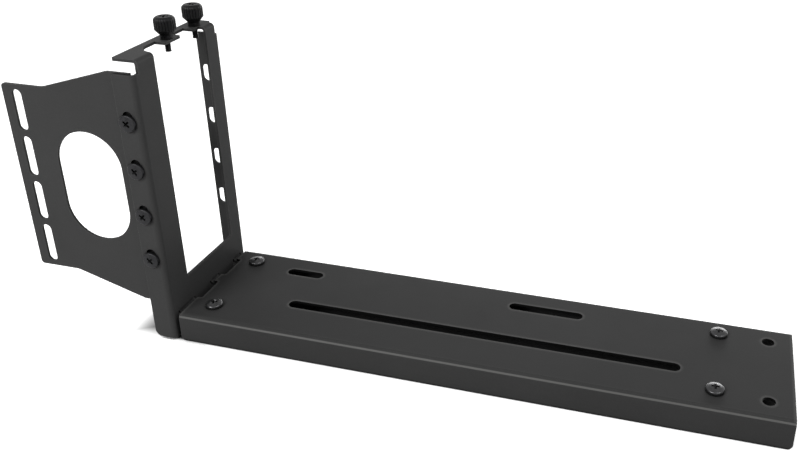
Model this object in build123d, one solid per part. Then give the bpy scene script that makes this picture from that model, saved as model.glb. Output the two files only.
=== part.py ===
from build123d import *

import os

# Vertical graphics card mount: a folded tray that lies on the floor of a computer case, an upright frame
# that takes the card's slot bracket, and a flat wing that fastens to the case's own card slots.
# Millimetres. X runs along the tray, away from the frame. Y runs across it, from front to rear. Z is up.
# Sizes are given from the datum: X = 0 on the frame's card side, Y = 0 on the middle of the tray, Z = 0 on
# the floor. The finished pieces are then moved so that the origin lies under the middle of the whole mount.

# Card slot standard
slot_pitch = 20.32
slot_count = 2
case_slot_count = 4
tongue_width = 10.2

# Sheet metal
sheet = 1.2
bend_inner = 1.0
bend_outer = bend_inner + sheet
running_gap = 0.3

# Upright frame
frame_width = 61.6
frame_foot_z = 1.1
front_flange_depth = 9.8
rear_flange_depth = 10.7
flange_top_z = 120.3
flange_foot_radius = 3.0
flange_top_radius = 1.0
window_start_y = -16.5
window_end_y = 21.0
window_bottom_z = 24.5
window_radius = 0.8

# Tray, as wide as the frame is between its flanges
tray_length = 254.0
tray_side_clearance = 0.1
tray_width = frame_width - 2 * sheet - 2 * tray_side_clearance
tray_depth = 12.6
tray_end_gap = 1.8
tray_corner_radius = 2.4
long_slot_start = 43.2
long_slot_length = 169.2
long_slot_width = 5.2
long_slot_y = -7.9
rear_slot_y = 16.8
rear_slot_starts = (30.5, 136.6)
rear_slot_lengths = (17.2, 32.4)
rear_slot_width = 4.8
end_hole_inset_x = 9.8
end_hole_inset_y = 9.95
end_hole_diameter = 5.0

# Notches in the tray's end that let the card bracket's tongues through
notch_clearance = 2.0
notch_depth = 2.1
notch_radius = 1.0
notch_middle_y = 2.9

# Tray screws, two rows of two
tray_screw_front_inset = 11.05
tray_screw_rear_inset = 9.85
tray_screw_first_x = 12.6
tray_screw_pitch_x = 213.5
tray_head_diameter = 7.2
tray_head_height = 2.2
tray_head_rim = 1.0
tray_screw_length = 6.0

# Ledge that carries the card bracket's tabs
ledge_top_z = 125.6
ledge_depth = 11.43
ledge_bend_inner = 0.6
ledge_strip = 3.4
ledge_front_y = -27.2
ledge_rear_y = 30.2
ledge_leg_rear_y = 28.0
ledge_overhang = 8.0
ledge_corner_radius = 1.2
ledge_window_radius = 7.3
lobe_width = 10.8
lobe_reach = 8.3
lobe_radius = 0.5

# Tab at the frame's foot, folded under the tray
foot_tab_reach = 20.0
foot_tab_side_gap = 4.0
foot_tab_relief = 1.0
foot_tab_radius = 3.0

# Slots in both flanges of the frame
front_flange_slot_x = -5.4
rear_flange_slot_x = -7.6
flange_slot_width = 4.4
flange_slot_height = 7.8
flange_slot_middle_z = 71.3

# Wing
wing_middle_z = 69.8
wing_reach = 63.1
wing_strip_width = 18.8
wing_strip_height = 83.0
wing_root_x = -13.0
wing_root_height = 102.0
wing_corner_radius = 1.5
wing_shoulder_radius = 8.0
wing_root_radius = 4.0
case_slot_x = -56.6
case_slot_width = 4.5
case_slot_height = 17.7
cable_hole_x = -28.25
cable_hole_width = 29.8
cable_hole_height = 48.5

# Wing screws, whose row stands a little above the wing's middle
wing_screw_rise = 0.6
wing_head_diameter = 7.0
wing_head_height = 1.8
wing_head_rim = 1.2
wing_screw_length = 6.0

# Thread shared by the wing screws and the tray screws, with the nuts behind them
screw_diameter = 3.5
screw_hole_clearance = 0.15
thread_clearance = 0.05
nut_across_flats = 6.0
nut_height = 2.8

# Crown of the screw heads, and the cross recess in the crown
head_crown_inset = 1.2
recess_width = 1.0
recess_span = 4.0
recess_depth = 1.1

# Thumbscrews
thumb_x = -5.9
thumb_first_y = 1.8
thumb_head_diameter = 8.8
thumb_head_height = 7.6
thumb_lower_chamfer = 2.2
thumb_upper_chamfer = 1.3
thumb_neck_diameter = 5.0
thumb_neck_height = 1.7
thumb_thread_diameter = 2.5
thumb_thread_length = 5.6
knurl_count = 24
knurl_width = 0.5

# Places worked out from the sizes above
tray_start_x = tray_end_gap
tray_end_x = tray_start_x + tray_length
tray_top_z = tray_depth
tray_under_z = tray_top_z - sheet
frame_front_y = -frame_width / 2
frame_inner_y = frame_front_y + sheet
wing_back_y = frame_inner_y + sheet
foot_tab_top_z = tray_under_z
foot_tab_under_z = foot_tab_top_z - sheet
foot_tab_half_width = tray_width / 2 - foot_tab_side_gap
ledge_under_z = ledge_top_z - sheet
notch_width = tongue_width + 2 * notch_clearance
screw_hole_radius = screw_diameter / 2 + screw_hole_clearance
case_slot_rows = [(i - (case_slot_count - 1) / 2) * slot_pitch for i in range(case_slot_count)]
notch_ys = [notch_middle_y + (i - (slot_count - 1) / 2) * slot_pitch for i in range(slot_count)]
thumb_ys = [thumb_first_y + i * slot_pitch for i in range(slot_count)]
tray_screw_xs = (tray_screw_first_x, tray_screw_first_x + tray_screw_pitch_x)
tray_screw_ys = (tray_screw_front_inset - tray_width / 2, tray_width / 2 - tray_screw_rear_inset)

# The origin lies on the floor, under the middle of the mount's overall length and width
origin_x = (tray_end_x - wing_reach) / 2
origin_y = -wing_head_height / 2


def block(x0, x1, y0, y1, z0, z1):
    """A block between two corners."""
    return Pos((x0 + x1) / 2, (y0 + y1) / 2, (z0 + z1) / 2) * Box(x1 - x0, y1 - y0, z1 - z0)


def flat_cut(outline):
    """An outline in plan, cut through the tray's top and through the tab below it."""
    return extrude(Pos(0, 0, foot_tab_under_z - sheet) * outline, 4 * sheet)


def folded_channel(width, depth):
    """Section of a sheet with two sides: the web's outside lies on Y = 0 and the sides run to -Y."""
    outer = Pos(0, -depth / 2) * Rectangle(width, depth)
    outer = fillet(outer.vertices().group_by(Axis.Y)[-1], bend_outer)
    inner = Pos(0, -sheet - depth / 2) * Rectangle(width - 2 * sheet, depth)
    inner = fillet(inner.vertices().group_by(Axis.Y)[-1], bend_inner)
    return outer - inner


def folded_corner(across, down, inner_radius):
    """Section of a sheet with one fold: the outside corner lies on the origin, the legs run to -X and -Y."""
    outer = Pos(-across / 2, -down / 2) * Rectangle(across, down)
    outer = fillet(outer.vertices().group_by(Axis.X)[-1].sort_by(Axis.Y)[-1], inner_radius + sheet)
    inner = Pos(-sheet, -sheet) * Pos(-across / 2, -down / 2) * Rectangle(across, down)
    inner = fillet(inner.vertices().group_by(Axis.X)[-1].sort_by(Axis.Y)[-1], inner_radius)
    return outer - inner


def make_tray():
    """Folded sheet with a flat top and a side at front and rear, open at both ends and below."""
    section = Plane(origin=(tray_start_x, 0, tray_top_z), x_dir=(0, 1, 0), z_dir=(1, 0, 0))
    tray = extrude(section * folded_channel(tray_width, tray_depth), tray_length)
    tray = fillet(tray.edges().filter_by(Axis.Y).group_by(Axis.Z)[0], tray_corner_radius)

    slot_middle = Pos(long_slot_start + long_slot_length / 2, long_slot_y)
    tray -= flat_cut(slot_middle * SlotOverall(long_slot_length, long_slot_width))
    for start, length in zip(rear_slot_starts, rear_slot_lengths):
        tray -= flat_cut(Pos(start + length / 2, rear_slot_y) * SlotOverall(length, rear_slot_width))

    for y in notch_ys:
        notch = Pos(tray_start_x, y) * Rectangle(2 * notch_depth, notch_width)
        tray -= flat_cut(fillet(notch.vertices().group_by(Axis.X)[-1], notch_radius))

    for side in (-1, 1):
        end_hole_y = side * (tray_width / 2 - end_hole_inset_y)
        tray -= flat_cut(Pos(tray_end_x - end_hole_inset_x, end_hole_y) * Circle(end_hole_diameter / 2))
    for x in tray_screw_xs:
        for y in tray_screw_ys:
            tray -= flat_cut(Pos(x, y) * Circle(screw_hole_radius))
    return tray


def ledge_opening():
    """Plan of the opening behind the ledge's strip, which leaves one lobe for each thumbscrew."""
    strip_x = ledge_strip - ledge_depth
    lobe_x = lobe_reach - ledge_depth
    width = window_end_y - window_start_y
    opening = Pos((strip_x + bend_outer) / 2, window_start_y + width / 2) * Rectangle(bend_outer - strip_x, width)
    for y in thumb_ys:
        lobe = Pos(lobe_x - lobe_reach / 2, y) * Rectangle(lobe_reach, lobe_width)
        opening -= fillet(lobe.vertices().group_by(Axis.X)[-1], lobe_radius)
    front_corner = opening.vertices().sort_by_distance((strip_x, window_start_y))[0]
    return fillet(front_corner, ledge_window_radius)


def make_ledge():
    """Top of the face, folded over to -X, with a strip, two lobes and a tongue past the rear flange."""
    fold_height = ledge_top_z - flange_top_z + bend_outer
    section = Plane(origin=(0, ledge_leg_rear_y, ledge_top_z), x_dir=(1, 0, 0), z_dir=(0, -1, 0))
    profile = folded_corner(ledge_depth, fold_height, ledge_bend_inner)
    ledge = extrude(section * profile, ledge_leg_rear_y - ledge_front_y)
    ledge += block(-ledge_depth, ledge_overhang - ledge_depth, ledge_leg_rear_y, ledge_rear_y,
                   ledge_under_z, ledge_top_z)
    ledge = fillet(ledge.edges().filter_by(Axis.Z).group_by(Axis.X)[0], ledge_corner_radius)
    ledge -= extrude(Pos(0, 0, ledge_top_z - fold_height) * ledge_opening(), fold_height + sheet)
    for y in thumb_ys:
        hole_radius = thumb_thread_diameter / 2 + thread_clearance
        ledge -= Pos(thumb_x, y, ledge_top_z) * Cylinder(hole_radius, 4 * sheet)
    return ledge


def foot_tab_spans():
    """Where the foot tab is folded off the face: beside and between the notches."""
    edges = [-foot_tab_half_width]
    for y in notch_ys:
        edges += [y - notch_width / 2, y + notch_width / 2]
    edges += [foot_tab_half_width]
    return zip(edges[::2], edges[1::2])


def make_foot_tab():
    """Foot of the face, folded to +X under the tray, with gaps for the card bracket's tongues."""
    section = Plane(origin=(-sheet, foot_tab_half_width, foot_tab_under_z), x_dir=(-1, 0, 0), z_dir=(0, -1, 0))
    profile = folded_corner(foot_tab_reach + sheet, 2 * bend_outer, bend_inner)
    tab = extrude(section * profile, 2 * foot_tab_half_width)
    tab = fillet(tab.edges().filter_by(Axis.Z).group_by(Axis.X)[-1], foot_tab_radius)
    for y in notch_ys:
        tab -= block(-2 * sheet, tray_start_x + notch_depth, y - notch_width / 2, y + notch_width / 2,
                     foot_tab_under_z - sheet, foot_tab_under_z + 2 * bend_outer)
    for y in tray_screw_ys:
        tab -= flat_cut(Pos(tray_screw_first_x, y) * Circle(screw_hole_radius))
    return tab


def make_frame():
    """One folded sheet: a face with a window, a flange at front and rear, a ledge above and a foot tab."""
    section = Plane(origin=(0, 0, flange_top_z), x_dir=(0, 1, 0), z_dir=(0, 0, -1))
    frame = extrude(section * folded_channel(frame_width, rear_flange_depth), flange_top_z - frame_foot_z)
    frame -= block(-2 * rear_flange_depth, -front_flange_depth, frame_front_y, 0, 0, flange_top_z)
    for flange in (1, 0):
        for end, radius in ((0, flange_foot_radius), (-1, flange_top_radius)):
            free_corners = frame.edges().filter_by(Axis.Y).group_by(Axis.X)[flange]
            frame = fillet(free_corners.group_by(Axis.Z)[end], radius)

    for start, end in foot_tab_spans():
        frame -= block(-2 * sheet, sheet, start - foot_tab_relief, end + foot_tab_relief,
                       0, foot_tab_under_z + bend_outer)
    frame += make_foot_tab()
    frame += make_ledge()

    window_middle_y = (window_start_y + window_end_y) / 2
    window_height = flange_top_z - window_bottom_z
    face_plane = Plane(origin=(sheet, window_middle_y, window_bottom_z), x_dir=(0, 1, 0), z_dir=(1, 0, 0))
    window = Pos(0, window_height / 2) * Rectangle(window_end_y - window_start_y, window_height)
    window = fillet(window.vertices().group_by(Axis.Y)[0], window_radius)
    frame -= extrude(face_plane * window, -3 * sheet)

    outline = SlotOverall(flange_slot_height, flange_slot_width)
    for row in case_slot_rows:
        for x, depth in ((front_flange_slot_x, -frame_width), (rear_flange_slot_x, frame_width)):
            slot_plane = Plane(origin=(x, 0, flange_slot_middle_z + row), x_dir=(0, 0, 1), z_dir=(0, 1, 0))
            frame -= extrude(slot_plane * outline, depth)
    return frame


def make_wing():
    """Flat sheet behind the front flange: a slotted strip, an oval cable hole and a row of screw holes."""
    end_x = -bend_outer - running_gap
    strip_x = wing_strip_width - wing_reach
    rounded_corners = [
        (-wing_reach, wing_strip_height / 2, wing_corner_radius),
        (strip_x, wing_strip_height / 2, wing_shoulder_radius),
        (wing_root_x, wing_root_height / 2, wing_root_radius),
    ]
    lower = [(x, -z) for x, z, radius in rounded_corners] + [(end_x, -wing_root_height / 2)]
    upper = [(x, -z) for x, z in reversed(lower)]
    wing = Polygon(*lower, *upper, align=None)
    for x, z, radius in rounded_corners:
        for side in (-1, 1):
            wing = fillet(wing.vertices().sort_by_distance((x, side * z))[0], radius)

    wing -= Pos(cable_hole_x, 0) * Rot(0, 0, 90) * SlotOverall(cable_hole_height, cable_hole_width)
    for row in case_slot_rows:
        wing -= Pos(case_slot_x, row) * Rot(0, 0, 90) * SlotOverall(case_slot_height, case_slot_width)
        wing -= Pos(front_flange_slot_x, row + wing_screw_rise) * Circle(screw_hole_radius)
    plane = Plane(origin=(0, wing_back_y, wing_middle_z), x_dir=(1, 0, 0), z_dir=(0, -1, 0))
    return extrude(plane * wing, sheet)


def make_screw(head_diameter, head_height, rim_height, length):
    """Pan head screw with a cross recess: the head sits on Z = 0 and the shank runs to -Z."""
    head_radius = head_diameter / 2
    shank_radius = screw_diameter / 2
    outline = Polyline(
        (0, 0, -length),
        (shank_radius, 0, -length),
        (shank_radius, 0, 0),
        (head_radius, 0, 0),
        (head_radius, 0, rim_height),
        (head_radius - head_crown_inset, 0, head_height),
        (0, 0, head_height),
        close=True,
    )
    screw = revolve(make_face(outline), Axis.Z)
    for angle in (0, 90):
        bar = Box(recess_span, recess_width, 2 * recess_depth)
        screw -= Pos(0, 0, head_height) * Rot(0, 0, angle) * bar
    return screw


def make_nut():
    """Hexagon nut that hangs from Z = 0 to -Z."""
    outline = RegularPolygon(nut_across_flats / 2, 6, major_radius=False)
    return extrude(outline - Circle(screw_diameter / 2 + thread_clearance), -nut_height)


def make_thumbscrew():
    """Knurled thumbscrew: the neck stands on Z = 0 and the thread runs to -Z."""
    thread = thumb_thread_diameter / 2
    neck = thumb_neck_diameter / 2
    head = thumb_head_diameter / 2
    top = thumb_neck_height + thumb_head_height
    outline = Polyline(
        (0, 0, -thumb_thread_length),
        (thread, 0, -thumb_thread_length),
        (thread, 0, 0),
        (neck, 0, 0),
        (neck, 0, thumb_neck_height),
        (head, 0, thumb_neck_height + thumb_lower_chamfer),
        (head, 0, top - thumb_upper_chamfer),
        (head - thumb_upper_chamfer, 0, top),
        (0, 0, top),
        close=True,
    )
    screw = revolve(make_face(outline), Axis.Z)
    band_height = thumb_head_height - thumb_lower_chamfer - thumb_upper_chamfer
    band_middle = thumb_neck_height + thumb_lower_chamfer + band_height / 2
    groove = Rot(0, 0, 45) * Box(knurl_width, knurl_width, band_height)
    for place in PolarLocations(head, knurl_count):
        screw -= Pos(0, 0, band_middle) * place * groove
    return screw


parts = {
    "tray": make_tray(),
    "upright_frame": make_frame(),
    "wing_plate": make_wing(),
}

turn_to_front = Rot(90, 0, 0)
wing_screw = make_screw(wing_head_diameter, wing_head_height, wing_head_rim, wing_screw_length)
tray_screw = make_screw(tray_head_diameter, tray_head_height, tray_head_rim, tray_screw_length)
nut = make_nut()
thumbscrew = make_thumbscrew()

for number, row in enumerate(reversed(case_slot_rows), start=1):
    z = wing_middle_z + wing_screw_rise + row
    parts[f"wing_screw_{number}"] = Pos(front_flange_slot_x, frame_front_y, z) * turn_to_front * wing_screw
    parts[f"wing_nut_{number}"] = Pos(front_flange_slot_x, wing_back_y, z) * turn_to_front * nut

for end, x, under_z in zip(("frame", "far"), tray_screw_xs, (foot_tab_under_z, tray_under_z)):
    for side, y in zip(("front", "rear"), tray_screw_ys):
        parts[f"tray_screw_{end}_{side}"] = Pos(x, y, tray_top_z) * tray_screw
        parts[f"tray_nut_{end}_{side}"] = Pos(x, y, under_z) * nut

for side, y in zip(("front", "rear"), thumb_ys):
    parts[f"thumbscrew_{side}"] = Pos(thumb_x, y, ledge_top_z) * thumbscrew

os.makedirs("parts", exist_ok=True)
for name, piece in parts.items():
    export_step(Pos(-origin_x, -origin_y, 0) * piece, os.path.join("parts", f"{name}.step"))
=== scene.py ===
"""Vertical graphics card mount: finishes, fasteners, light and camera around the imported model.

Lengths are in metres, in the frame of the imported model: X along the tray, Y across it, Z up.
"""

import math

import bmesh
import bpy
from mathutils import Matrix, Vector


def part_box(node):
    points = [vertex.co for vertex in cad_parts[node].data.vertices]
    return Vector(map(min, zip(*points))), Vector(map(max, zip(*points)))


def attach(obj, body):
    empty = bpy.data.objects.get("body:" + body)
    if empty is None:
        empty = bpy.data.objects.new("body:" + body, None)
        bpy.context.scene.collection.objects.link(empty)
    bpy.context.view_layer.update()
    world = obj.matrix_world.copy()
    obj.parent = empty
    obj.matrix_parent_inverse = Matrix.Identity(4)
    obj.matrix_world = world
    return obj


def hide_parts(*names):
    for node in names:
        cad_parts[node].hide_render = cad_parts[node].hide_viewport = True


MM = 0.001
TURN = 2 * math.pi

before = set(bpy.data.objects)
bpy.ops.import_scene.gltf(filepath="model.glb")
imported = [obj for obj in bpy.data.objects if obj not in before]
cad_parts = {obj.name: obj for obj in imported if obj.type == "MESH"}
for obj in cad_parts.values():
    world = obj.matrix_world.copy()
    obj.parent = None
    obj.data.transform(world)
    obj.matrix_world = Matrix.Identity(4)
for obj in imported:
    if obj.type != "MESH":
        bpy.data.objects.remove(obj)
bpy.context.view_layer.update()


# Camera: the place, the directions and the focal length of the photograph
PHOTO_WIDTH = 800
PHOTO_HEIGHT = 453
FOCAL_PIXELS = 899.2
AXIS_PIXEL = (489.5, 174.9)
CAMERA_PLACE = Vector((117.15, -306.8, 231.4)) * MM
CAMERA_RIGHT = Vector((0.9651, 0.2616, 0.0085))
CAMERA_FORWARD = Vector((-0.2335, 0.8755, -0.4230))
SENSOR_WIDTH = 36.0
CLIP_RANGE = (0.01, 20.0)


def make_camera():
    data = bpy.data.cameras.new("camera")
    data.sensor_width = SENSOR_WIDTH
    data.lens = SENSOR_WIDTH * FOCAL_PIXELS / PHOTO_WIDTH
    data.shift_x = (PHOTO_WIDTH / 2 - AXIS_PIXEL[0]) / PHOTO_WIDTH
    data.shift_y = (AXIS_PIXEL[1] - PHOTO_HEIGHT / 2) / PHOTO_WIDTH
    data.clip_start, data.clip_end = CLIP_RANGE
    forward = CAMERA_FORWARD.normalized()
    right = (CAMERA_RIGHT - forward * CAMERA_RIGHT.dot(forward)).normalized()
    turn = Matrix((right, right.cross(forward), -forward)).transposed().to_4x4()
    camera = bpy.data.objects.new("camera", data)
    camera.matrix_world = Matrix.Translation(CAMERA_PLACE) @ turn
    bpy.context.scene.collection.objects.link(camera)
    bpy.context.scene.camera = camera


# Powder coat: the two shades that it wanders between, and how strongly it mirrors
COAT_SHADES = (0.0205, 0.0250)
COAT_SPECULAR = 0.06
# The tray's shades are the coat's, darkened: painted shade that makes the tray read darker than the
# frame under the same light
TRAY_DARKENED_SHADES = (0.0180, 0.0220)
TRAY_SPECULAR = 0.045
COAT_ROUGHNESS = (0.44, 0.52)
# Colour of the coat's paler edges: partly wear, partly painted highlight
COAT_WEAR_AND_HIGHLIGHT = (0.070, 0.070, 0.068)
# Painted shade: the coat darkens to this colour in crevices, gaps and slots, within this reach
COAT_PAINTED_SHADE = (0.003, 0.003, 0.003)
COAT_SHADE_REACH = 2.2 * MM
COAT_EDGE = 0.40 * MM

# The tray gets a painted highlight where its folds face this share of Y and of Z, and round the
# openings in its top.
# The slots' cut walls, which get painted shade, lie above the height SKIN_Z, and end before
# SLOTS_END_X.
FOLD_HIGHLIGHT_FACING = (0.82, 0.57)
FOLD_HIGHLIGHT_STRENGTH = 0.80
RIM_HIGHLIGHT_WIDTH = 2.2 * MM
RIM_HIGHLIGHT_STRENGTH = 0.50
SKIN_Z = 11.2 * MM
SLOTS_END_X = 155.0 * MM

# Blackened steels: colour, colour where rubbed, range of roughness, size of the tool marks
STEELS = {
    # The wing screws' steel is darker than the tray screws': painted shade that makes their heads
    # read darker
    "wing_screw_black": ((0.014, 0.014, 0.015), (0.030, 0.030, 0.030), (0.34, 0.46), 0.25 * MM),
    "tray_screw_black": ((0.035, 0.035, 0.036), (0.045, 0.045, 0.045), (0.25, 0.32), 0.25 * MM),
    "nut_black": ((0.050, 0.050, 0.052), (0.16, 0.16, 0.16), (0.38, 0.50), 0.30 * MM),
    "thumbscrew_black": ((0.005, 0.005, 0.0053), (0.020, 0.020, 0.020), (0.40, 0.52), 0.25 * MM),
}
STEEL_METALLIC = 0.85
STEEL_TINT = 1.35
# Painted shade: the steels darken to this colour in recesses and against other parts, within this
# reach
STEEL_PAINTED_SHADE = (0.002, 0.002, 0.002)
STEEL_SHADE_REACH = 1.3 * MM
STEEL_EDGE = 0.12 * MM

# Floor: its colour in the open and in the shade, and how much it lights itself to the camera.
# The shade is deepest at the foot: within these distances of the place along X and of Y = 0.
FLOOR_COLOUR = (0.86, 0.86, 0.86)
FLOOR_SHADE = (0.02, 0.02, 0.02)
FLOOR_GLOW = 0.45
FLOOR_SHADE_REACH = 100 * MM
FOOT_X = -102.0 * MM
FOOT_ALONG = (4 * MM, 20 * MM)
FOOT_ACROSS = (22 * MM, 31 * MM)
FLOOR_HALF = 6.0
FLOOR_DROP = 0.05 * MM

# Noise lies almost wholly within this range
NOISE_RANGE = (0.3, 0.7)
EDGE_SAMPLES = 6


class Nodes:
    """A material's node tree, with short calls to add and join its nodes."""

    def __init__(self, name):
        self.material = bpy.data.materials.new(name)
        self.material.use_nodes = True
        self.tree = self.material.node_tree
        self.tree.nodes.clear()
        self.output = self.add("ShaderNodeOutputMaterial")

    def add(self, kind):
        return self.tree.nodes.new(kind)

    def join(self, source, target):
        self.tree.links.new(source, target)

    def finish(self, surface):
        """Joins the surface to the output and returns the material."""
        self.join(surface, self.output.inputs["Surface"])
        return self.material

    def position(self):
        """The place on the piece, in metres."""
        return self.add("ShaderNodeTexCoord").outputs["Object"]

    def axis(self, vector, name):
        """One component of a vector."""
        node = self.add("ShaderNodeSeparateXYZ")
        self.join(vector, node.inputs["Vector"])
        return node.outputs[name]

    def noise(self, size, detail=2.0, roughness=0.5):
        """Noise with features of this size in metres."""
        node = self.add("ShaderNodeTexNoise")
        node.inputs["Scale"].default_value = 1.0 / size
        node.inputs["Detail"].default_value = detail
        node.inputs["Roughness"].default_value = roughness
        self.join(self.position(), node.inputs["Vector"])
        return node.outputs["Fac"]

    def spread(self, value, low, high, to_low, to_high):
        """The value, with the range low to high stretched to another range and clamped."""
        node = self.add("ShaderNodeMapRange")
        numbers = {"From Min": low, "From Max": high, "To Min": to_low, "To Max": to_high}
        for name, number in numbers.items():
            node.inputs[name].default_value = number
        self.join(value, node.inputs["Value"])
        return node.outputs["Result"]

    def patches(self, size, to_low, to_high):
        """Noise of this size that covers the given range."""
        return self.spread(self.noise(size, detail=3.0), *NOISE_RANGE, to_low, to_high)

    def calculate(self, operation, first, second):
        node = self.add("ShaderNodeMath")
        node.operation = operation
        for socket, value in zip(node.inputs, (first, second)):
            if isinstance(value, (int, float)):
                socket.default_value = value
            else:
                self.join(value, socket)
        return node.outputs[0]

    def times(self, first, second):
        return self.calculate("MULTIPLY", first, second)

    def greater(self, first, second):
        return self.calculate("MAXIMUM", first, second)

    def size_of(self, value):
        """The value without its sign."""
        return self.calculate("ABSOLUTE", value, 0.0)

    def mix_colour(self, share, first, second):
        """The first colour at a share of 0 and the second at 1."""
        node = self.add("ShaderNodeMix")
        node.data_type = "RGBA"
        self.join(share, node.inputs["Factor"])
        for name, colour in (("A", first), ("B", second)):
            socket = next(s for s in node.inputs if s.name == name and s.type == "RGBA")
            if isinstance(colour, tuple):
                socket.default_value = (*colour, 1.0)
            else:
                self.join(colour, socket)
        return next(s for s in node.outputs if s.type == "RGBA")

    def edge(self, radius, reach):
        """1 at the piece's edges and 0 away from them: how far a rounded normal leans."""
        bevel = self.add("ShaderNodeBevel")
        bevel.samples = EDGE_SAMPLES
        bevel.inputs["Radius"].default_value = radius
        dot = self.add("ShaderNodeVectorMath")
        dot.operation = "DOT_PRODUCT"
        self.join(bevel.outputs["Normal"], dot.inputs[0])
        self.join(self.add("ShaderNodeNewGeometry").outputs["Normal"], dot.inputs[1])
        return self.spread(dot.outputs["Value"], 1.0, 1.0 - reach, 0.0, 1.0)

    def open_share(self, distance, samples=8):
        """How much of the space within this distance is open: 1 on a free face, 0 in a gap."""
        node = self.add("ShaderNodeAmbientOcclusion")
        node.samples = samples
        node.inputs["Distance"].default_value = distance
        return node.outputs["AO"]

    def bump(self, height, distance, strength, under=None):
        """A bumpy normal, on top of another one if it is given."""
        node = self.add("ShaderNodeBump")
        node.inputs["Distance"].default_value = distance
        node.inputs["Strength"].default_value = strength
        self.join(height, node.inputs["Height"])
        if under is not None:
            self.join(under, node.inputs["Normal"])
        return node.outputs["Normal"]


def add_fold_and_rim_highlights(n, pale_edges, facing):
    """Adds the painted highlights: a pale line along the tray's folds, and paler rims round the
    openings in its top.
    """
    side = n.times(n.size_of(n.axis(facing, "Y")), FOLD_HIGHLIGHT_FACING[0])
    lean = n.calculate("ADD", side, n.times(n.axis(facing, "Z"), FOLD_HIGHLIGHT_FACING[1]))
    pale_edges = n.greater(pale_edges, n.spread(lean, 0.972, 0.992, 0.0, FOLD_HIGHLIGHT_STRENGTH))
    top_face = n.spread(n.axis(facing, "Z"), 0.70, 0.95, 0.0, RIM_HIGHLIGHT_STRENGTH)
    return n.greater(pale_edges, n.times(n.edge(RIM_HIGHLIGHT_WIDTH, 0.05), top_face))


def shade_slot_walls(n, unshaded_share, facing):
    """Paints shade on the cut walls of the tray's slots, by taking them out of the share that lies
    open.
    """
    place = n.position()
    skin = n.spread(n.axis(place, "Z"), SKIN_Z, SKIN_Z + 0.2 * MM, 0.0, 1.0)
    inner = n.spread(n.axis(place, "X"), SLOTS_END_X, SLOTS_END_X + 2 * MM, 1.0, 0.0)
    upright = n.spread(n.axis(facing, "Z"), 0.30, 0.45, 1.0, 0.0)
    wall = n.times(n.times(skin, upright), inner)
    return n.spread(n.calculate("SUBTRACT", unshaded_share, wall), 0.0, 1.0, 0.0, 1.0)


def powder_coat(name, shades, specular, folded=False):
    """Black powder coat: fine orange peel, a dull sheen, painted shade in crevices, and paler edges
    that are partly wear and partly painted highlight.
    """
    n = Nodes(name)
    shader = n.add("ShaderNodeBsdfPrincipled")
    speckle = n.spread(n.noise(0.45 * MM, detail=1.0), 0.35, 0.65, 0.0, 0.4)
    shade = n.calculate("ADD", n.patches(45 * MM, 0.0, 0.6), speckle)
    body = n.mix_colour(shade, (shades[0],) * 3, (shades[1],) * 3)
    scuffs = n.spread(n.noise(3.0 * MM, detail=4.0, roughness=0.65), 0.40, 0.62, 0.35, 1.0)
    # Paler edges: partly wear, partly painted highlight
    pale_edges = n.times(n.edge(COAT_EDGE, 0.30), scuffs)
    # Painted shade: where little space lies open, the coat's colour darkens
    unshaded_share = n.spread(n.open_share(COAT_SHADE_REACH), 0.42, 0.82, 0.0, 1.0)
    # On the tray: painted highlights along the folds and round the openings, and painted shade on
    # the slots' cut walls
    if folded:
        facing = n.add("ShaderNodeTexCoord").outputs["Normal"]
        pale_edges = add_fold_and_rim_highlights(n, pale_edges, facing)
        unshaded_share = shade_slot_walls(n, unshaded_share, facing)
    with_pale_edges = n.mix_colour(pale_edges, body, COAT_WEAR_AND_HIGHLIGHT)
    n.join(n.mix_colour(unshaded_share, COAT_PAINTED_SHADE, with_pale_edges), shader.inputs["Base Color"])
    n.join(n.patches(14 * MM, *COAT_ROUGHNESS), shader.inputs["Roughness"])
    shader.inputs["Specular IOR Level"].default_value = specular
    peel = n.bump(n.noise(0.9 * MM), 0.035 * MM, 0.55)
    grain = n.bump(n.noise(0.22 * MM, detail=1.0), 0.012 * MM, 0.45, under=peel)
    n.join(grain, shader.inputs["Normal"])
    return n.finish(shader.outputs["BSDF"])


def black_steel(name, colour, rubbed_colour, roughness, mark_size):
    """Blackened steel: a satin metal with fine tool marks, brighter rubbed edges, and painted shade
    in its recesses.
    """
    n = Nodes(name)
    shader = n.add("ShaderNodeBsdfPrincipled")
    shader.inputs["Metallic"].default_value = STEEL_METALLIC
    tint = n.patches(1.6 * MM, 0.0, 1.0)
    body = n.mix_colour(tint, colour, tuple(STEEL_TINT * c for c in colour))
    scuffs = n.spread(n.noise(0.7 * MM, detail=3.0), 0.40, 0.60, 0.2, 1.0)
    pale_edges = n.times(n.edge(STEEL_EDGE, 0.35), scuffs)
    with_pale_edges = n.mix_colour(pale_edges, body, rubbed_colour)
    # Painted shade in recesses
    unshaded_share = n.spread(n.open_share(STEEL_SHADE_REACH), 0.40, 0.85, 0.0, 1.0)
    n.join(n.mix_colour(unshaded_share, STEEL_PAINTED_SHADE, with_pale_edges), shader.inputs["Base Color"])
    n.join(n.patches(0.9 * MM, *roughness), shader.inputs["Roughness"])
    n.join(n.bump(n.noise(mark_size), 0.008 * MM, 0.5), shader.inputs["Normal"])
    return n.finish(shader.outputs["BSDF"])


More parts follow.
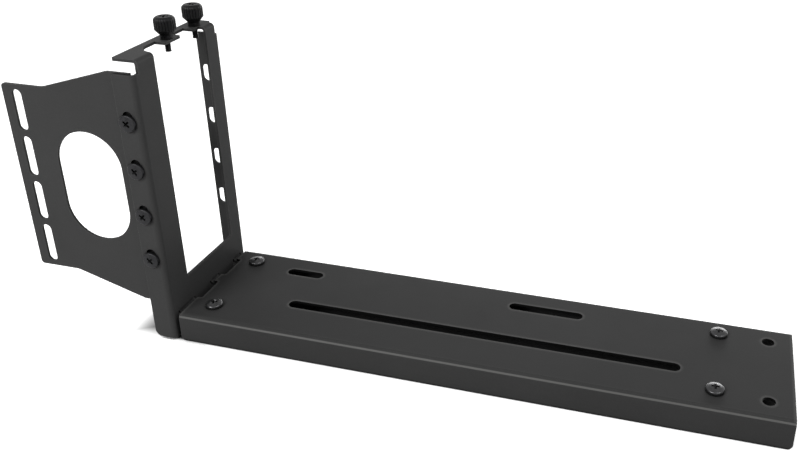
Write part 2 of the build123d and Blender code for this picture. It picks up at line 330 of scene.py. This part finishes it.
def floor_material():
    """Pale matt floor that lights itself a little to the camera and meets the white background,
    with painted shade under the piece that is deepest at the frame's foot.
    """
    n = Nodes("floor")
    open_floor = n.spread(n.open_share(FLOOR_SHADE_REACH, samples=24), 0.36, 0.60, 0.0, 1.0)
    place = n.position()
    along = n.size_of(n.calculate("SUBTRACT", n.axis(place, "X"), FOOT_X))
    across = n.size_of(n.axis(place, "Y"))
    near = n.spread(along, *FOOT_ALONG, 0.05, 1.0)
    outside = n.greater(n.times(near, near), n.spread(across, *FOOT_ACROSS, 0.0, 1.0))
    open_floor = n.times(open_floor, outside)
    matt = n.add("ShaderNodeBsdfDiffuse")
    n.join(n.mix_colour(open_floor, FLOOR_SHADE, FLOOR_COLOUR), matt.inputs["Color"])
    glow = n.add("ShaderNodeEmission")
    seen = n.add("ShaderNodeLightPath").outputs["Is Camera Ray"]
    n.join(n.times(n.times(seen, FLOOR_GLOW), open_floor), glow.inputs["Strength"])
    both = n.add("ShaderNodeAddShader")
    n.join(matt.outputs["BSDF"], both.inputs[0])
    n.join(glow.outputs["Emission"], both.inputs[1])
    return n.finish(both.outputs["Shader"])


# Stage: the world's light on the object, and its strength where it is seen or mirrored
WORLD_LIGHT = 0.55
WORLD_WHITE = 1.0

# Softboxes: name, place, aim, size and power
SOFTBOXES = (
    ("key", (-0.42, -0.72, 0.62), (-0.05, 0.0, 0.05), (0.45, 0.30), 11.3),
    ("fill", (0.45, -0.15, 0.65), (-0.08, 0.0, 0.08), (0.4, 0.4), 3.0),
    ("rim", (0.25, 1.25, 0.20), (0.05, 0.0, 0.02), (1.9, 0.30), 11.0),
)


def make_floor():
    mesh = bpy.data.meshes.new("floor")
    corners = [(FLOOR_HALF * x, FLOOR_HALF * y, 0) for x, y in ((-1, -1), (1, -1), (1, 1), (-1, 1))]
    mesh.from_pydata(corners, [], [(0, 1, 2, 3)])
    mesh.materials.append(floor_material())
    floor = bpy.data.objects.new("floor", mesh)
    floor.location.z = -FLOOR_DROP
    bpy.context.scene.collection.objects.link(floor)


def make_world():
    """White where it is seen or mirrored, and a plain soft grey light elsewhere."""
    world = bpy.data.worlds.new("studio")
    world.use_nodes = True
    nodes, links = world.node_tree.nodes, world.node_tree.links
    nodes.clear()
    path = nodes.new("ShaderNodeLightPath")
    white = path.outputs["Is Camera Ray"]
    for name in ("Is Glossy Ray", "Is Transmission Ray"):
        either = nodes.new("ShaderNodeMath")
        either.operation = "MAXIMUM"
        links.new(white, either.inputs[0])
        links.new(path.outputs[name], either.inputs[1])
        white = either.outputs[0]
    strength = nodes.new("ShaderNodeMapRange")
    strength.inputs["To Min"].default_value = WORLD_LIGHT
    strength.inputs["To Max"].default_value = WORLD_WHITE
    links.new(white, strength.inputs["Value"])
    background = nodes.new("ShaderNodeBackground")
    background.inputs["Color"].default_value = (1.0, 1.0, 1.0, 1.0)
    links.new(strength.outputs["Result"], background.inputs["Strength"])
    output = nodes.new("ShaderNodeOutputWorld")
    links.new(background.outputs["Background"], output.inputs["Surface"])
    bpy.context.scene.world = world


def make_softbox(name, place, aim, size, power):
    data = bpy.data.lights.new(name, "AREA")
    data.shape = "RECTANGLE"
    data.size, data.size_y = size
    data.energy = power
    lamp = bpy.data.objects.new(name, data)
    lamp.location = place
    lamp.rotation_euler = (Vector(aim) - Vector(place)).to_track_quat("-Z", "Y").to_euler()
    bpy.context.scene.collection.objects.link(lamp)


# Screws: rim is where a head's side ends, shoulder its rounding, dome the rise of its crown
TRAY_HEAD = {"radius": 3.6 * MM, "height": 2.2 * MM, "rim": 0.90 * MM, "shoulder": 0.50 * MM,
             "dome": 0.62 * MM}
WING_HEAD = {"radius": 3.5 * MM, "height": 1.8 * MM, "rim": 1.10 * MM, "shoulder": 0.35 * MM,
             "dome": 0.30 * MM}
SCREW_STEPS = 60
SCREW_RADIUS = 1.75 * MM
SCREW_LENGTH = 6.0 * MM
SCREW_PITCH = 0.60 * MM
THREAD_DEPTH = 0.26 * MM
ROWS_PER_TURN = 6
DOME_RINGS = 8

# Cross recess: its rows from above its mouth to its point, as height, and shares of span and width
RECESS_SPAN = 3.3 * MM
RECESS_WIDTH = 0.85 * MM
RECESS_DEPTH = 1.35 * MM
RECESS_ROWS = ((0.6 * MM, 1.12, 1.15), (0.0, 1.0, 1.0), (-0.75 * RECESS_DEPTH, 0.62, 0.72),
               (-RECESS_DEPTH, 0.30, 0.45))

# Nuts
NUT_STEPS = 96
NUT_FLATS = 6.0 * MM
NUT_HEIGHT = 2.8 * MM
NUT_BORE = 1.8 * MM
NUT_THREAD_DEPTH = 0.25 * MM
NUT_CHAMFER = math.radians(30.0)

# Thumbscrews, from below: thread, neck, a cone, the knurled band and a rounded shoulder
THUMB_TEETH = 24
THUMB_STEPS = 6 * THUMB_TEETH
THUMB_THREAD = 1.25 * MM
THUMB_PITCH = 0.45 * MM
THUMB_THREAD_DEPTH = 0.20 * MM
THUMB_THREAD_LENGTH = 5.6 * MM
THUMB_NECK = 2.5 * MM
THUMB_NECK_HEIGHT = 1.7 * MM
THUMB_HEAD = 4.4 * MM
THUMB_LOWER = 2.2 * MM
THUMB_UPPER = 1.8 * MM
THUMB_TOP = 9.3 * MM
THUMB_DISH = 0.18 * MM
TOOTH_DEPTH = 0.30 * MM

FASTENERS = ("wing_screw", "wing_nut", "tray_screw", "tray_nut", "thumbscrew")
# How far each recess is turned, in degrees, in the order of the nodes' names
TURNS = {"wing_screw": (47, 38, 52, 44), "tray_screw": (3, -8, 12, 2), "thumbscrew": (20, 64)}
SHARP_ANGLE = math.radians(32.0)


def circle(radius, height):
    return lambda angle: (radius, height)


def turned(rings, steps, closed=False):
    """A closed mesh from rings, each a function of the angle that gives radius and height."""
    made = bmesh.new()
    rows = []
    for ring in rings:
        row = []
        for i in range(steps):
            angle = TURN * i / steps
            radius, height = ring(angle)
            point = (radius * math.cos(angle), radius * math.sin(angle), height)
            row.append(made.verts.new(point))
        rows.append(row)
    pairs = list(zip(rows, rows[1:]))
    if closed:
        pairs.append((rows[-1], rows[0]))
    for lower, upper in pairs:
        for i in range(steps):
            j = (i + 1) % steps
            made.faces.new((lower[i], lower[j], upper[j], upper[i]))
    if not closed:
        made.faces.new(list(reversed(rows[0])))
        made.faces.new(rows[-1])
    return finished(made, "turned")


def finished(made, name):
    """The mesh of a built form, with its faces turned outwards."""
    bmesh.ops.recalc_face_normals(made, faces=made.faces)
    mesh = bpy.data.meshes.new(name)
    made.to_mesh(mesh)
    made.free()
    return mesh


def tip_rings(core, tip, rise):
    """The chamfered end of a thread."""
    return [circle(0.55 * core, tip), circle(0.95 * core, tip + rise)]


def thread_rings(outer, depth, pitch, low, high, inward=False):
    """Rings of a helical thread between two heights, which runs out at both ends."""
    rings = []
    rows = max(2, round((high - low) / pitch * ROWS_PER_TURN))
    for i in range(rows + 1):
        height = low + (high - low) * i / rows
        fade = min(1.0, (height - low) / pitch, (high - height) / pitch)

        def ring(angle, height=height, fade=fade):
            turn = (height / pitch - angle / TURN) % 1.0
            groove = depth * fade * abs(2.0 * turn - 1.0)
            return (outer + groove if inward else outer - groove), height
        rings.append(ring)
    return rings


def domed_rings(head):
    """Rings of a head's crown: a rounded shoulder, then a low dome to near the middle."""
    rings = []
    base = head["height"] - head["dome"]
    for degrees in (30.0, 60.0, 85.0):
        turn = math.radians(degrees)
        rings.append(circle(head["radius"] - head["shoulder"] * (1.0 - math.cos(turn)),
                            head["rim"] + (base - head["rim"]) * math.sin(turn)))
    inner = head["radius"] - head["shoulder"]
    for i in range(DOME_RINGS + 1):
        share = 1.0 - 0.97 * i / DOME_RINGS
        rings.append(circle(inner * share, head["height"] - head["dome"] * share ** 2))
    return rings


def recess_cutter(height):
    """A cross that narrows towards its point, to be cut from a head of this height."""
    made = bmesh.new()
    rows = []
    for level, span, width in RECESS_ROWS:
        arm = RECESS_SPAN * span / 2
        half = RECESS_WIDTH * width / 2
        fillet = 1.25 * half
        corner = [(arm, -half), (arm, half), (fillet, half), (half, fillet)]
        row = []
        for quarter in range(4):
            turn = Matrix.Rotation(quarter * TURN / 4, 2)
            for point in corner:
                x, y = turn @ Vector(point)
                row.append(made.verts.new((x, y, height + level)))
        rows.append(row)
    for upper, lower in zip(rows, rows[1:]):
        for i in range(len(upper)):
            j = (i + 1) % len(upper)
            made.faces.new((upper[i], lower[i], lower[j], upper[j]))
    made.faces.new(rows[0])
    made.faces.new(list(reversed(rows[-1])))
    return finished(made, "recess")


def carved(blank, cutter):
    """The blank mesh with the cutter's mesh taken out of it."""
    scene = bpy.context.scene.collection
    body = bpy.data.objects.new("blank", blank)
    tool = bpy.data.objects.new("cutter", cutter)
    scene.objects.link(body)
    scene.objects.link(tool)
    cut = body.modifiers.new("cut", "BOOLEAN")
    cut.operation = "DIFFERENCE"
    cut.solver = "EXACT"
    cut.object = tool
    bpy.context.view_layer.update()
    result = body.evaluated_get(bpy.context.evaluated_depsgraph_get())
    mesh = bpy.data.meshes.new_from_object(result)
    for used in (body, tool):
        bpy.data.objects.remove(used)
    return mesh


def make_screw_mesh(head):
    """Pan head screw with a cross recess: the head sits on Z = 0 and the thread runs to -Z."""
    radius = head["radius"]
    tip = -SCREW_LENGTH
    rings = tip_rings(SCREW_RADIUS - THREAD_DEPTH, tip, 0.12 * MM)
    rings += thread_rings(SCREW_RADIUS - 0.02 * MM, THREAD_DEPTH, SCREW_PITCH,
                          tip + 0.2 * MM, -0.25 * MM)
    rings += [circle(SCREW_RADIUS - 0.05 * MM, -0.02 * MM), circle(radius - 0.12 * MM, 0.0)]
    rings += [circle(radius, 0.12 * MM), circle(radius, head["rim"])]
    rings += domed_rings(head)
    return carved(turned(rings, SCREW_STEPS), recess_cutter(head["height"] - 0.05 * MM))


def make_nut_mesh():
    """Hexagon nut with chamfered corners and a threaded bore, from Z = 0 to -Z."""
    flat = NUT_FLATS / 2
    corner = flat / math.cos(TURN / 12)
    rise = (corner - flat) * math.tan(NUT_CHAMFER)
    inset = 0.97 * flat
    mouth = NUT_BORE + NUT_THREAD_DEPTH

    def chamfer(height, share):
        limit = inset + share * (corner - inset)

        def ring(angle):
            across = flat / math.cos(angle % (TURN / 6) - TURN / 12)
            return min(across, limit), height
        return ring

    shares = (0.25, 0.5, 0.75, 1.0)
    rings = [circle(mouth, -NUT_HEIGHT), circle(inset, -NUT_HEIGHT)]
    rings += [chamfer(-NUT_HEIGHT + share * rise, share) for share in shares]
    rings += [chamfer(-share * rise, share) for share in reversed(shares)]
    rings += [circle(inset, 0.0), circle(mouth, 0.0)]
    rings += reversed(thread_rings(NUT_BORE, NUT_THREAD_DEPTH, SCREW_PITCH,
                                   -NUT_HEIGHT + 0.2 * MM, -0.2 * MM, inward=True))
    return turned(rings, NUT_STEPS, closed=True)


def knurled(radius, height, share):
    """A ring with the knurl's teeth cut into it, by this share of their depth."""
    def ring(angle):
        tooth = abs(math.sin(THUMB_TEETH * angle / 2)) ** 0.7
        return radius - share * TOOTH_DEPTH * (1.0 - tooth), height
    return ring


def make_thumb_mesh():
    """Knurled thumbscrew with a cross recess: the neck stands on Z = 0, the thread runs to -Z."""
    tip = -THUMB_THREAD_LENGTH
    rings = tip_rings(THUMB_THREAD - THUMB_THREAD_DEPTH, tip, 0.1 * MM)
    rings += thread_rings(THUMB_THREAD - 0.01 * MM, THUMB_THREAD_DEPTH, THUMB_PITCH,
                          tip + 0.15 * MM, -0.2 * MM)
    rings += [circle(THUMB_THREAD - 0.03 * MM, -0.01 * MM), circle(THUMB_NECK - 0.1 * MM, 0.0)]
    rings += [circle(THUMB_NECK, 0.1 * MM), circle(THUMB_NECK, THUMB_NECK_HEIGHT - 0.1 * MM)]
    band_low = THUMB_NECK_HEIGHT + THUMB_LOWER
    band_high = THUMB_TOP - THUMB_UPPER
    slope = (THUMB_HEAD - THUMB_NECK) / THUMB_LOWER
    for share in (0.08, 0.35, 0.6, 0.8, 0.92):
        rise = share * THUMB_LOWER
        rings.append(knurled(THUMB_NECK + slope * rise, THUMB_NECK_HEIGHT + rise,
                             max(0.0, share - 0.5) * 1.6))
    for share in (0.03, 0.12, 0.88, 0.97):
        rings.append(knurled(THUMB_HEAD, band_low + share * (band_high - band_low), 1.0))
    for degrees in (12.0, 30.0, 48.0, 66.0, 84.0):
        turn = math.radians(degrees)
        radius = THUMB_HEAD - THUMB_UPPER * (1.0 - math.cos(turn))
        rings.append(knurled(radius, band_high + THUMB_UPPER * math.sin(turn),
                             max(0.0, 1.0 - degrees / 60.0)))
    flat = THUMB_HEAD - THUMB_UPPER
    dish = THUMB_TOP - THUMB_DISH
    rings += [circle(flat - 0.15 * MM, THUMB_TOP), circle(flat - 0.35 * MM, THUMB_TOP)]
    rings += [circle(flat - 0.50 * MM, dish), circle(0.3 * flat, dish)]
    return carved(turned(rings, THUMB_STEPS), recess_cutter(dish))


def fasten(node, mesh, seat, body, material, turn=0.0, forward=False):
    """Puts a fastener on its node's place: forward ones face -Y, the others up."""
    mesh.materials.clear()
    mesh.materials.append(material)
    mesh.polygons.foreach_set("use_smooth", [True] * len(mesh.polygons))
    mesh.set_sharp_from_angle(angle=SHARP_ANGLE)
    piece = bpy.data.objects.new(f"{node}_shape", mesh)
    lean = Matrix.Rotation(TURN / 4, 4, "X") if forward else Matrix.Identity(4)
    piece.matrix_world = Matrix.Translation(seat) @ lean @ Matrix.Rotation(turn, 4, "Z")
    bpy.context.scene.collection.objects.link(piece)
    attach(piece, body)
    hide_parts(node)


def make_fasteners():
    steels = {name: black_steel(name, *look) for name, look in STEELS.items()}
    wing_screw = make_screw_mesh(WING_HEAD)
    tray_screw = make_screw_mesh(TRAY_HEAD)
    nut = make_nut_mesh()
    thumb = make_thumb_mesh()
    turns = {kind: iter(degrees) for kind, degrees in TURNS.items()}
    for node in sorted(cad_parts):
        kind = next((kind for kind in FASTENERS if node.startswith(kind)), None)
        low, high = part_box(node)
        seat = (low + high) / 2
        turn = math.radians(next(turns[kind])) if kind in turns else 0.0
        if kind == "wing_screw":
            seat.y = low.y + WING_HEAD["height"]
            fasten(node, wing_screw, seat, "wing", steels["wing_screw_black"],
                   turn, forward=True)
        elif kind == "wing_nut":
            seat.y = low.y
            fasten(node, nut, seat, "wing", steels["nut_black"], forward=True)
        elif kind == "tray_screw":
            seat.z = high.z - TRAY_HEAD["height"]
            fasten(node, tray_screw, seat, "mount", steels["tray_screw_black"], turn)
        elif kind == "tray_nut":
            seat.z = high.z
            fasten(node, nut, seat, "mount", steels["nut_black"])
        elif kind == "thumbscrew":
            seat.z = high.z - THUMB_TOP
            body = node.replace("thumbscrew", "thumb")
            fasten(node, thumb, seat, body, steels["thumbscrew_black"], turn)


# Sheets: the rounding of their cut edges, and the angles that tell flat facets from edges
EDGE_RADIUS = 0.25 * MM
EDGE_SEGMENTS = 2
FLAT_ANGLE = math.radians(1.0)
EDGE_ANGLE = math.radians(50.0)
WELD_DISTANCE = 0.001 * MM


def dress_sheet(node, material):
    """Paints a sheet and rounds its cut edges, after its flat facets are merged."""
    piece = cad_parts[node]
    piece.data.materials.clear()
    piece.data.materials.append(material)
    weld = piece.modifiers.new("weld", "WELD")
    weld.merge_threshold = WELD_DISTANCE
    flat = piece.modifiers.new("flat", "DECIMATE")
    flat.decimate_type = "DISSOLVE"
    flat.angle_limit = FLAT_ANGLE
    rounding = piece.modifiers.new("rounding", "BEVEL")
    rounding.width = EDGE_RADIUS
    rounding.segments = EDGE_SEGMENTS
    rounding.limit_method = "ANGLE"
    rounding.angle_limit = EDGE_ANGLE
    shading = piece.modifiers.new("shading", "WEIGHTED_NORMAL")
    shading.keep_sharp = True


coat = powder_coat("powder_coat", COAT_SHADES, COAT_SPECULAR)
dress_sheet("tray", powder_coat("tray_coat", TRAY_DARKENED_SHADES, TRAY_SPECULAR, folded=True))
dress_sheet("upright_frame", coat)
dress_sheet("wing_plate", coat)
make_fasteners()

make_floor()
make_world()
for softbox in SOFTBOXES:
    make_softbox(*softbox)
make_camera()
bpy.context.scene.view_settings.view_transform = "Standard"
